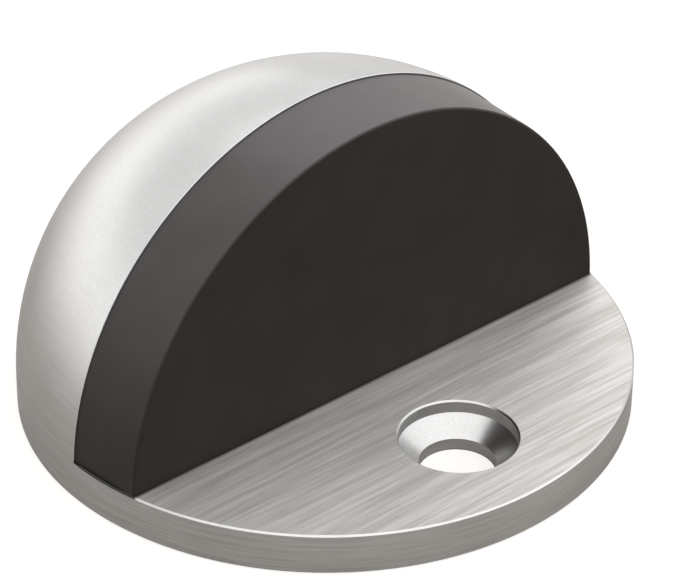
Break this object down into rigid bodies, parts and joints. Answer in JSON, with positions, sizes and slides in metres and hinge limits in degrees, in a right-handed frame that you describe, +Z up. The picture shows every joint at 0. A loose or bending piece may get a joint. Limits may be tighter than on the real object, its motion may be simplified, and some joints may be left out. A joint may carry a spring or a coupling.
{
  "type": "floor door stop",
  "caption": "Half-dome floor door stop: a round screw-down disc and dome in one casting, with a black rubber buffer held by a tongue in the dome.",
  "frame": {"origin": "centre of the disc on its underside, at floor level", "axes": "+Z up from the floor, -Y towards the door that meets the buffer, +X along the buffer's face"},
  "size_m": [0.045, 0.045, 0.0245],
  "materials": {
    "satin_stainless": "satin, brushed straight on the disc's top and round the dome",
    "black_rubber": "smooth matte moulding",
    "brass": "turned",
    "screw_steel": "bright zinc plated"
  },
  "bodies": {
    "root": {"body": "satin_stainless", "buffer": "black_rubber", "insert_left": "brass", "insert_right": "brass", "retaining_screw_left": "screw_steel", "retaining_screw_right": "screw_steel"}
  },
  "joints": []
}
